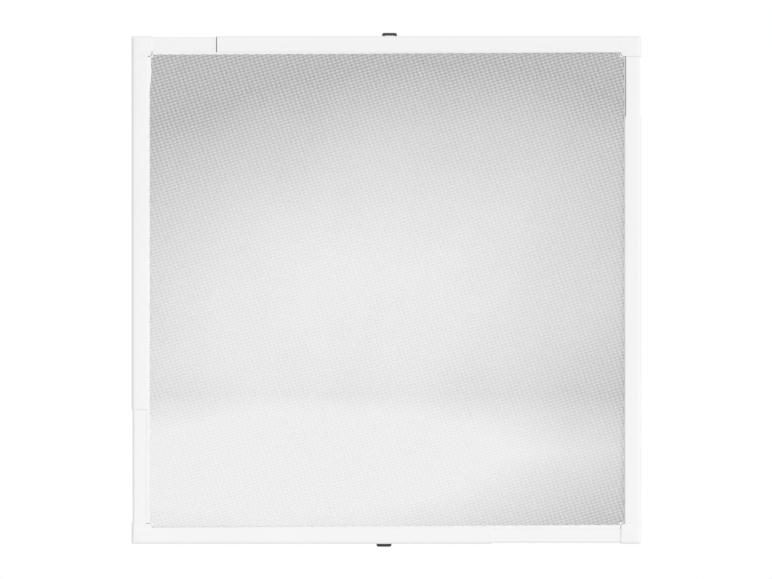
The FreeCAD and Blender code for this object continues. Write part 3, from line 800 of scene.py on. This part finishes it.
def yarn_prisms(lines, radius, first_axis, second_axis):
    """Many-sided strands: round every point of a line, points at the radius times cosine and sine."""
    count, stations = lines.shape[:2]
    angle = np.arange(YARN_SIDES) * math.pi / (YARN_SIDES / 2)
    around = radius * (np.cos(angle)[:, None] * first_axis + np.sin(angle)[:, None] * second_axis)
    points = (lines[:, :, None, :] + around).reshape(-1, 3)
    one = ring_faces(stations, YARN_SIDES)
    ring = np.arange(YARN_SIDES)
    lids = np.stack((ring[::-1], ring + (stations - 1) * YARN_SIDES))
    offset = np.arange(count)[:, None, None] * stations * YARN_SIDES
    return points, (one + offset).reshape(-1, 4), (lids + offset).reshape(-1, YARN_SIDES)


def strand_lines(pitch, turn, half, notch, across, along, level, stray, generator):
    """Centre lines of parallel strands, turned a little in the mesh's plane: even places plus a small chance
    shift and a slow sine sway. Each ends where its line leaves a rectangle that lacks its four corners."""
    slope = math.tan(turn)
    reach = half[0] + abs(slope) * half[1]
    places = pitch * np.arange(-int(reach / pitch), int(reach / pitch) + 1)
    edges = np.sort([(-half[0] - places) / slope, (half[0] - places) / slope], axis=0)
    corners = np.sort([(-notch[0] - places) / slope, (notch[0] - places) / slope], axis=0)
    low = np.maximum(edges[0], -half[1])
    high = np.minimum(edges[1], half[1])
    kept_low = np.minimum(-notch[1], np.maximum(low, corners[0]))
    kept_low = np.where(corners[1] < -notch[1], -notch[1], kept_low)
    kept_high = np.maximum(notch[1], np.minimum(high, corners[1]))
    kept_high = np.where(corners[0] > notch[1], notch[1], kept_high)
    low = np.where(low < -notch[1], kept_low, low)
    high = np.where(high > notch[1], kept_high, high)
    long = high - low > SHORTEST_STRAND
    places, low, high = places[long], low[long], high[long]
    share = np.linspace(0.0, 1.0, YARN_STATIONS)
    lengthways = low[:, None] + (high - low)[:, None] * share
    chance = generator.normal(0.0, stray * CHANCE_SHARE, len(places))
    phase = generator.uniform(0.0, 2 * math.pi, len(places))
    sway = stray * np.sin(share * SWAY_TURN + phase[:, None])
    sideways = (places + chance)[:, None] + slope * lengthways + sway
    return sideways[..., None] * across + lengthways[..., None] * along + level * FRONT


def make_mesh(sizes, finish):
    """The mesh: upright and level strands in two layers that press into each other where they cross; strands
    near the edge stop short of the corner blocks."""
    node = "insect_mesh"
    low, high = (np.array(corner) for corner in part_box(node))
    half = np.array((high[0] - MESH_HEM, high[2] - MESH_HEM))
    outer = np.array((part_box("right_sleeve")[1].x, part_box("top_sleeve")[1].z))
    notch = outer - (sizes.block + CORNER_GAP) - MESH_HEM
    radius = sizes.yarn / 2
    generator = np.random.default_rng(CHANCE_SEED)
    x_axis, y_axis, z_axis = np.eye(3)
    uprights = strand_lines(sizes.upright_pitch, sizes.upright_lean, half, notch, x_axis, z_axis,
                            radius - high[1], sizes.stray, generator)
    levels = strand_lines(sizes.level_pitch, -sizes.level_lean, half[::-1], notch[::-1], z_axis, x_axis,
                          -low[1] - radius, sizes.stray, generator)
    upright_points, upright_quads, upright_lids = yarn_prisms(uprights, radius, x_axis, y_axis)
    level_points, level_quads, level_lids = yarn_prisms(levels, radius, y_axis, z_axis)
    shift = len(upright_points)
    points = np.vstack((upright_points, level_points))
    faces = [np.vstack((upright_quads, level_quads + shift)), np.vstack((upright_lids, level_lids + shift))]
    tones = generator.uniform(0.0, LEVEL_TONE, len(uprights) + len(levels))
    tones[len(uprights):] += LEVEL_TONE
    tones = np.repeat(tones, YARN_STATIONS * YARN_SIDES)
    name = node + "_woven"
    piece = add_piece(name, points, faces, [finish], [node], tones=tones, sharp=75.0)
    return piece


# Operators

class SCREEN_OT_rails(bpy.types.Operator):
    """Four sleeves and the four slides inside them"""

    bl_idname = "screen.rails"
    bl_label = "Rails"

    def execute(self, context):
        sizes = context.scene.screen_sizes
        finish = context.scene.screen_finish
        # the second finish is painted shade at the top sleeve's open end
        finishes = [coated_rail(finish), seam_shade_end(finish)]
        front = sizes.front_radius
        step = slide_step()
        for side in SIDES:
            open_end = sizes.wide_bevel if side.name == "top" else sizes.cut_bevel
            make_rail(side, side.name + "_sleeve", 0.0, *rail_section("top_sleeve"), front,
                      sizes.edge_radius, (sizes.joint_bevel, open_end), sizes, finishes)
            make_rail(side, side.name + "_slide", step, *rail_section("top_slide"), front - step,
                      sizes.slide_edge, (sizes.cut_bevel, sizes.joint_bevel), sizes, finishes)
        return {"FINISHED"}


class SCREEN_OT_blocks(bpy.types.Operator):
    """Four corner blocks with their plugs"""

    bl_idname = "screen.blocks"
    bl_label = "Corner blocks"

    def execute(self, context):
        finish = moulded_block(context.scene.screen_finish)
        width, depth = rail_section("top_sleeve")
        for side in SIDES:
            make_block(side, context.scene.screen_sizes, finish, width, depth, slide_step())
        return {"FINISHED"}


class SCREEN_OT_strips(bpy.types.Operator):
    """Four soft strips in the rails' slots"""

    bl_idname = "screen.strips"
    bl_label = "Strips"

    def execute(self, context):
        finish = soft_strip(context.scene.screen_finish)
        width, _ = rail_section("top_sleeve")
        for side in SIDES:
            make_strip(side, context.scene.screen_sizes, finish, width, slide_step())
        return {"FINISHED"}


class SCREEN_OT_mesh(bpy.types.Operator):
    """The woven insect mesh"""

    bl_idname = "screen.mesh"
    bl_label = "Mesh"

    def execute(self, context):
        sizes = context.scene.screen_sizes
        make_mesh(sizes, coated_yarn(context.scene.screen_finish, sizes))
        return {"FINISHED"}


class SCREEN_OT_hooks(bpy.types.Operator):
    """Finishes of the two hanging hooks and their screws"""

    bl_idname = "screen.hooks"
    bl_label = "Hooks and screws"

    def execute(self, context):
        finish = context.scene.screen_finish
        plastic = dark_hook(finish)
        for end in ("top", "bottom"):
            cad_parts[end + "_hook"].material_slots[0].material = plastic
            screw = end + "_hook_screw"
            low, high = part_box(screw)
            plating = zinc_plate(finish, end + "_screw_zinc", (low + high) / 2)
            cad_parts[screw].material_slots[0].material = plating
        return {"FINISHED"}


class SCREEN_OT_stage(bpy.types.Operator):
    """Pale floor, two soft lamps, even light all round and the camera"""

    bl_idname = "screen.stage"
    bl_label = "Stage"

    def execute(self, context):
        stage = context.scene.screen_stage
        self.floor(stage.floor_drop)
        self.lamp("key", KEY_FROM, stage.key, KEY_ANGLE)
        self.lamp("back", BACK_FROM, stage.back, BACK_ANGLE)
        self.surroundings(stage.ambient)
        self.camera(stage)
        context.scene.view_settings.view_transform = "Standard"
        return {"FINISHED"}

    def floor(self, drop):
        """A flat disc: rings of points at radius times cosine and sine; it keeps the shadow and fades at its
        rim."""
        material = bpy.data.materials.new("pale_floor")
        material.use_nodes = True
        tree = material.node_tree
        tree.nodes.clear()
        shade = blend(tree, looked_at(tree), FLOOR_COLOUR, FLOOR_SEEN)
        pale = add_node(tree, "ShaderNodeBsdfDiffuse", {"Color": shade})
        far = add_node(tree, "ShaderNodeVectorMath", {0: object_place(tree)}, operation="LENGTH")
        fade = spread(tree, far.outputs["Value"], FLOOR_FADE, FLOOR_RADIUS, 0.0, 1.0)
        clear = add_node(tree, "ShaderNodeBsdfTransparent")
        feeds = {"Fac": fade, 1: pale.outputs[0], 2: clear.outputs[0]}
        mixed = add_node(tree, "ShaderNodeMixShader", feeds)
        add_node(tree, "ShaderNodeOutputMaterial", {"Surface": mixed.outputs[0]})
        angle = np.linspace(0.0, 2 * math.pi, FLOOR_RING, endpoint=False)
        radius = np.linspace(FLOOR_HUB, FLOOR_RADIUS, FLOOR_ROWS)[:, None]
        height = np.full((FLOOR_ROWS, FLOOR_RING), -drop)
        points = np.stack((radius * np.cos(angle), radius * np.sin(angle), height), -1)
        quads = ring_faces(FLOOR_ROWS, FLOOR_RING)[:, ::-1]
        mesh = bpy.data.meshes.new("floor")
        mesh.from_pydata(points.reshape(-1, 3).tolist(), [], quads.tolist() + [list(range(FLOOR_RING))])
        mesh.materials.append(material)
        floor = bpy.data.objects.new("floor", mesh)
        bpy.context.scene.collection.objects.link(floor)

    def lamp(self, name, toward, strength, spread_angle):
        """A far, broad lamp that shines on the frame's middle from the given direction."""
        light = bpy.data.lights.new(name, "SUN")
        light.energy = strength
        light.angle = math.radians(spread_angle)
        lamp = bpy.data.objects.new(name, light)
        lamp.location = np.array(toward) * LAMP_DISTANCE
        lamp.rotation_mode = "QUATERNION"
        lamp.rotation_quaternion = lamp.location.to_track_quat("Z", "Y")
        bpy.context.scene.collection.objects.link(lamp)

    def surroundings(self, level):
        """Even light all round, white where the camera, gloss or glass look at it."""
        world = bpy.data.worlds.new("surroundings")
        world.use_nodes = True
        bpy.context.scene.world = world
        tree = world.node_tree
        tree.nodes.clear()
        even = add_node(tree, "ShaderNodeBackground", {"Color": WHITE, "Strength": level})
        white = add_node(tree, "ShaderNodeBackground", {"Color": WHITE, "Strength": 1.0})
        feeds = {"Fac": looked_at(tree), 1: even.outputs[0], 2: white.outputs[0]}
        mixed = add_node(tree, "ShaderNodeMixShader", feeds)
        add_node(tree, "ShaderNodeOutputWorld", {"Surface": mixed.outputs[0]})

    def camera(self, stage):
        """A level camera with a long lens; the lens shift brings the frame's middle back to the picture's
        middle."""
        data = bpy.data.cameras.new("camera")
        data.sensor_width = SENSOR_WIDTH
        data.lens = SENSOR_WIDTH * (stage.distance - VIEW_PLANE) / stage.view_width
        data.shift_y = -stage.camera_rise / stage.view_width
        camera = bpy.data.objects.new("camera", data)
        camera.location = (AIM_SIDEWAYS, -stage.distance, stage.camera_rise + AIM_UP)
        camera.rotation_euler = (math.pi / 2, 0.0, 0.0)
        bpy.context.scene.collection.objects.link(camera)
        bpy.context.scene.camera = camera


class SCREEN_PT_panel(bpy.types.Panel):
    """Lists the settings, the pieces and the stage"""

    bl_idname = "SCREEN_PT_panel"
    bl_label = "Screen Frame"
    bl_space_type = "VIEW_3D"
    bl_region_type = "UI"
    bl_category = "Screen Frame"

    def draw(self, context):
        scene = context.scene
        for settings in (scene.screen_sizes, scene.screen_finish, scene.screen_stage):
            column = self.layout.column(align=True)
            for name in settings.__annotations__:
                column.prop(settings, name)
        for operator in OPERATORS:
            self.layout.operator(operator.bl_idname)


OPERATORS = (
    SCREEN_OT_rails,
    SCREEN_OT_blocks,
    SCREEN_OT_strips,
    SCREEN_OT_mesh,
    SCREEN_OT_hooks,
    SCREEN_OT_stage,
)
CLASSES = (ScreenSizes, ScreenFinish, ScreenStage, *OPERATORS, SCREEN_PT_panel)


def register():
    for item in CLASSES:
        bpy.utils.register_class(item)
    bpy.types.Scene.screen_sizes = bpy.props.PointerProperty(type=ScreenSizes)
    bpy.types.Scene.screen_finish = bpy.props.PointerProperty(type=ScreenFinish)
    bpy.types.Scene.screen_stage = bpy.props.PointerProperty(type=ScreenStage)


def unregister():
    del bpy.types.Scene.screen_stage
    del bpy.types.Scene.screen_finish
    del bpy.types.Scene.screen_sizes
    for item in reversed(CLASSES):
        bpy.utils.unregister_class(item)


def main():
    register()
    bpy.ops.screen.rails()
    bpy.ops.screen.blocks()
    bpy.ops.screen.strips()
    bpy.ops.screen.mesh()
    bpy.ops.screen.hooks()
    bpy.ops.screen.stage()


if __name__ == "__main__":
    main()
